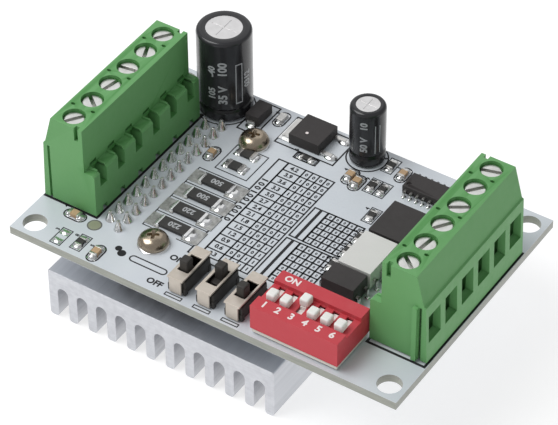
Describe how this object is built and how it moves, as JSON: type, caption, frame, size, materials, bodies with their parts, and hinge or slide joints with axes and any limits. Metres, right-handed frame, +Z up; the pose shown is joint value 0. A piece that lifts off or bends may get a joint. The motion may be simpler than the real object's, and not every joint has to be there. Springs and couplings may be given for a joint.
{
  "type": "stepper driver module",
  "caption": "Stepper motor driver board with screw terminals, DIP and slide switches, standing on a finned aluminium heatsink.",
  "frame": {"origin": "middle of the board in plan, at the level of the heatsink's fin tips, which is the surface the module stands on", "axes": "+X along the board's long edge, away from the driver chip's leads; +Y from the switch edge to the capacitor edge; +Z up through the component side"},
  "size_m": [0.075, 0.05, 0.0346],
  "materials": {
    "solder_mask": "white solder mask over glass-epoxy board",
    "aluminium": "bare extrusion, fine satin",
    "black_epoxy": "moulded epoxy, matt",
    "white_epoxy": "moulded epoxy, matt",
    "nickel_screw": "nickel plate, bright",
    "zinc_screw": "zinc plate, satin",
    "zinc_cage": "zinc plate, satin",
    "green_polyamide": "moulded polyamide, satin",
    "red_plastic": "moulded, satin",
    "pale_plastic": "moulded, matt",
    "white_nylon": "moulded nylon, satin",
    "black_plastic": "moulded, satin",
    "tinned_sheet": "tinned sheet, warm grey",
    "capacitor_sleeve": "shrunk plastic sleeve, glossy",
    "resistor_ceramic": "glazed ceramic chip"
  },
  "bodies": {
    "module": {"circuit_board": "solder_mask", "heatsink": "aluminium", "driver_chip": "black_epoxy", "heatsink_screw_front": "nickel_screw", "heatsink_screw_back": "nickel_screw", "terminal_block_left": "green_polyamide", "terminal_block_right": "green_polyamide", "dip_switch_base": "pale_plastic", "dip_switch_housing": "red_plastic", "slide_switch_base_1": "black_plastic", "slide_switch_base_2": "black_plastic", "slide_switch_base_3": "black_plastic", "slide_switch_frame_1": "tinned_sheet", "slide_switch_frame_2": "tinned_sheet", "slide_switch_frame_3": "tinned_sheet", "large_capacitor": "capacitor_sleeve", "small_capacitor": "capacitor_sleeve", "regulator": "black_epoxy", "power_diode": "black_epoxy", "shunt_resistor_1": "resistor_ceramic", "shunt_resistor_2": "resistor_ceramic", "shunt_resistor_3": "resistor_ceramic", "shunt_resistor_4": "resistor_ceramic", "optocoupler_front": "black_epoxy", "optocoupler_middle": "white_epoxy", "optocoupler_back": "black_epoxy", "logic_chip": "black_epoxy"},
    "clamp_screw_left_1": {"clamp_screw_left_1": "zinc_screw"},
    "clamp_cage_left_1": {"clamp_cage_left_1": "zinc_cage"},
    "clamp_screw_left_2": {"clamp_screw_left_2": "zinc_screw"},
    "clamp_cage_left_2": {"clamp_cage_left_2": "zinc_cage"},
    "clamp_screw_left_3": {"clamp_screw_left_3": "zinc_screw"},
    "clamp_cage_left_3": {"clamp_cage_left_3": "zinc_cage"},
    "clamp_screw_left_4": {"clamp_screw_left_4": "zinc_screw"},
    "clamp_cage_left_4": {"clamp_cage_left_4": "zinc_cage"},
    "clamp_screw_left_5": {"clamp_screw_left_5": "zinc_screw"},
    "clamp_cage_left_5": {"clamp_cage_left_5": "zinc_cage"},
    "clamp_screw_left_6": {"clamp_screw_left_6": "zinc_screw"},
    "clamp_cage_left_6": {"clamp_cage_left_6": "zinc_cage"},
    "clamp_screw_right_1": {"clamp_screw_right_1": "zinc_screw"},
    "clamp_cage_right_1": {"clamp_cage_right_1": "zinc_cage"},
    "clamp_screw_right_2": {"clamp_screw_right_2": "zinc_screw"},
    "clamp_cage_right_2": {"clamp_cage_right_2": "zinc_cage"},
    "clamp_screw_right_3": {"clamp_screw_right_3": "zinc_screw"},
    "clamp_cage_right_3": {"clamp_cage_right_3": "zinc_cage"},
    "clamp_screw_right_4": {"clamp_screw_right_4": "zinc_screw"},
    "clamp_cage_right_4": {"clamp_cage_right_4": "zinc_cage"},
    "clamp_screw_right_5": {"clamp_screw_right_5": "zinc_screw"},
    "clamp_cage_right_5": {"clamp_cage_right_5": "zinc_cage"},
    "clamp_screw_right_6": {"clamp_screw_right_6": "zinc_screw"},
    "clamp_cage_right_6": {"clamp_cage_right_6": "zinc_cage"},
    "dip_actuator_1": {"dip_actuator_1": "white_nylon"},
    "dip_actuator_2": {"dip_actuator_2": "white_nylon"},
    "dip_actuator_3": {"dip_actuator_3": "white_nylon"},
    "dip_actuator_4": {"dip_actuator_4": "white_nylon"},
    "dip_actuator_5": {"dip_actuator_5": "white_nylon"},
    "dip_actuator_6": {"dip_actuator_6": "white_nylon"},
    "slide_switch_knob_1": {"slide_switch_knob_1": "black_plastic"},
    "slide_switch_knob_2": {"slide_switch_knob_2": "black_plastic"},
    "slide_switch_knob_3": {"slide_switch_knob_3": "black_plastic"}
  },
  "joints": [
    {"name": "turn_clamp_screw_left_1", "type": "hinge", "parent": "module", "child": "clamp_screw_left_1", "pos_m": [-0.0319, -0.013, 0.0337], "axis": [0, 0, -1], "range_deg": [0, 1440]},
    {"name": "raise_clamp_cage_left_1", "type": "slide", "parent": "module", "child": "clamp_cage_left_1", "axis": [0, 0, 1], "range_m": [0, 0.0018]},
    {"name": "turn_clamp_screw_left_2", "type": "hinge", "parent": "module", "child": "clamp_screw_left_2", "pos_m": [-0.0319, -0.00792, 0.0337], "axis": [0, 0, -1], "range_deg": [0, 1440]},
    {"name": "raise_clamp_cage_left_2", "type": "slide", "parent": "module", "child": "clamp_cage_left_2", "axis": [0, 0, 1], "range_m": [0, 0.0018]},
    {"name": "turn_clamp_screw_left_3", "type": "hinge", "parent": "module", "child": "clamp_screw_left_3", "pos_m": [-0.0319, -0.00284, 0.0337], "axis": [0, 0, -1], "range_deg": [0, 1440]},
    {"name": "raise_clamp_cage_left_3", "type": "slide", "parent": "module", "child": "clamp_cage_left_3", "axis": [0, 0, 1], "range_m": [0, 0.0018]},
    {"name": "turn_clamp_screw_left_4", "type": "hinge", "parent": "module", "child": "clamp_screw_left_4", "pos_m": [-0.0319, 0.00224, 0.0337], "axis": [0, 0, -1], "range_deg": [0, 1440]},
    {"name": "raise_clamp_cage_left_4", "type": "slide", "parent": "module", "child": "clamp_cage_left_4", "axis": [0, 0, 1], "range_m": [0, 0.0018]},
    {"name": "turn_clamp_screw_left_5", "type": "hinge", "parent": "module", "child": "clamp_screw_left_5", "pos_m": [-0.0319, 0.00732, 0.0337], "axis": [0, 0, -1], "range_deg": [0, 1440]},
    {"name": "raise_clamp_cage_left_5", "type": "slide", "parent": "module", "child": "clamp_cage_left_5", "axis": [0, 0, 1], "range_m": [0, 0.0018]},
    {"name": "turn_clamp_screw_left_6", "type": "hinge", "parent": "module", "child": "clamp_screw_left_6", "pos_m": [-0.0319, 0.0124, 0.0337], "axis": [0, 0, -1], "range_deg": [0, 1440]},
    {"name": "raise_clamp_cage_left_6", "type": "slide", "parent": "module", "child": "clamp_cage_left_6", "axis": [0, 0, 1], "range_m": [0, 0.0018]},
    {"name": "turn_clamp_screw_right_1", "type": "hinge", "parent": "module", "child": "clamp_screw_right_1", "pos_m": [0.0319, -0.0127, 0.0337], "axis": [0, 0, -1], "range_deg": [0, 1440]},
    {"name": "raise_clamp_cage_right_1", "type": "slide", "parent": "module", "child": "clamp_cage_right_1", "axis": [0, 0, 1], "range_m": [0, 0.0018]},
    {"name": "turn_clamp_screw_right_2", "type": "hinge", "parent": "module", "child": "clamp_screw_right_2", "pos_m": [0.0319, -0.00762, 0.0337], "axis": [0, 0, -1], "range_deg": [0, 1440]},
    {"name": "raise_clamp_cage_right_2", "type": "slide", "parent": "module", "child": "clamp_cage_right_2", "axis": [0, 0, 1], "range_m": [0, 0.0018]},
    {"name": "turn_clamp_screw_right_3", "type": "hinge", "parent": "module", "child": "clamp_screw_right_3", "pos_m": [0.0319, -0.00254, 0.0337], "axis": [0, 0, -1], "range_deg": [0, 1440]},
    {"name": "raise_clamp_cage_right_3", "type": "slide", "parent": "module", "child": "clamp_cage_right_3", "axis": [0, 0, 1], "range_m": [0, 0.0018]},
    {"name": "turn_clamp_screw_right_4", "type": "hinge", "parent": "module", "child": "clamp_screw_right_4", "pos_m": [0.0319, 0.00254, 0.0337], "axis": [0, 0, -1], "range_deg": [0, 1440]},
    {"name": "raise_clamp_cage_right_4", "type": "slide", "parent": "module", "child": "clamp_cage_right_4", "axis": [0, 0, 1], "range_m": [0, 0.0018]},
    {"name": "turn_clamp_screw_right_5", "type": "hinge", "parent": "module", "child": "clamp_screw_right_5", "pos_m": [0.0319, 0.00762, 0.0337], "axis": [0, 0, -1], "range_deg": [0, 1440]},
    {"name": "raise_clamp_cage_right_5", "type": "slide", "parent": "module", "child": "clamp_cage_right_5", "axis": [0, 0, 1], "range_m": [0, 0.0018]},
    {"name": "turn_clamp_screw_right_6", "type": "hinge", "parent": "module", "child": "clamp_screw_right_6", "pos_m": [0.0319, 0.0127, 0.0337], "axis": [0, 0, -1], "range_deg": [0, 1440]},
    {"name": "raise_clamp_cage_right_6", "type": "slide", "parent": "module", "child": "clamp_cage_right_6", "axis": [0, 0, 1], "range_m": [0, 0.0018]},
    {"name": "slide_dip_actuator_1", "type": "slide", "parent": "module", "child": "dip_actuator_1", "axis": [0, 1, 0], "range_m": [0, 0.0019]},
    {"name": "slide_dip_actuator_2", "type": "slide", "parent": "module", "child": "dip_actuator_2", "axis": [0, 1, 0], "range_m": [0, 0.0019]},
    {"name": "slide_dip_actuator_3", "type": "slide", "parent": "module", "child": "dip_actuator_3", "axis": [0, 1, 0], "range_m": [-0.0019, 0]},
    {"name": "slide_dip_actuator_4", "type": "slide", "parent": "module", "child": "dip_actuator_4", "axis": [0, 1, 0], "range_m": [0, 0.0019]},
    {"name": "slide_dip_actuator_5", "type": "slide", "parent": "module", "child": "dip_actuator_5", "axis": [0, 1, 0], "range_m": [0, 0.0019]},
    {"name": "slide_dip_actuator_6", "type": "slide", "parent": "module", "child": "dip_actuator_6", "axis": [0, 1, 0], "range_m": [0, 0.0019]},
    {"name": "slide_slide_switch_knob_1", "type": "slide", "parent": "module", "child": "slide_switch_knob_1", "axis": [0, 1, 0], "range_m": [0, 0.002]},
    {"name": "slide_slide_switch_knob_2", "type": "slide", "parent": "module", "child": "slide_switch_knob_2", "axis": [0, 1, 0], "range_m": [-0.002, 0]},
    {"name": "slide_slide_switch_knob_3", "type": "slide", "parent": "module", "child": "slide_switch_knob_3", "axis": [0, 1, 0], "range_m": [0, 0.002]}
  ],
  "couplings": [
    {"joint": "turn_clamp_screw_left_1", "follows": "raise_clamp_cage_left_1", "rad_per_m": 13963},
    {"joint": "turn_clamp_screw_left_2", "follows": "raise_clamp_cage_left_2", "rad_per_m": 13963},
    {"joint": "turn_clamp_screw_left_3", "follows": "raise_clamp_cage_left_3", "rad_per_m": 13963},
    {"joint": "turn_clamp_screw_left_4", "follows": "raise_clamp_cage_left_4", "rad_per_m": 13963},
    {"joint": "turn_clamp_screw_left_5", "follows": "raise_clamp_cage_left_5", "rad_per_m": 13963},
    {"joint": "turn_clamp_screw_left_6", "follows": "raise_clamp_cage_left_6", "rad_per_m": 13963},
    {"joint": "turn_clamp_screw_right_1", "follows": "raise_clamp_cage_right_1", "rad_per_m": 13963},
    {"joint": "turn_clamp_screw_right_2", "follows": "raise_clamp_cage_right_2", "rad_per_m": 13963},
    {"joint": "turn_clamp_screw_right_3", "follows": "raise_clamp_cage_right_3", "rad_per_m": 13963},
    {"joint": "turn_clamp_screw_right_4", "follows": "raise_clamp_cage_right_4", "rad_per_m": 13963},
    {"joint": "turn_clamp_screw_right_5", "follows": "raise_clamp_cage_right_5", "rad_per_m": 13963},
    {"joint": "turn_clamp_screw_right_6", "follows": "raise_clamp_cage_right_6", "rad_per_m": 13963}
  ]
}
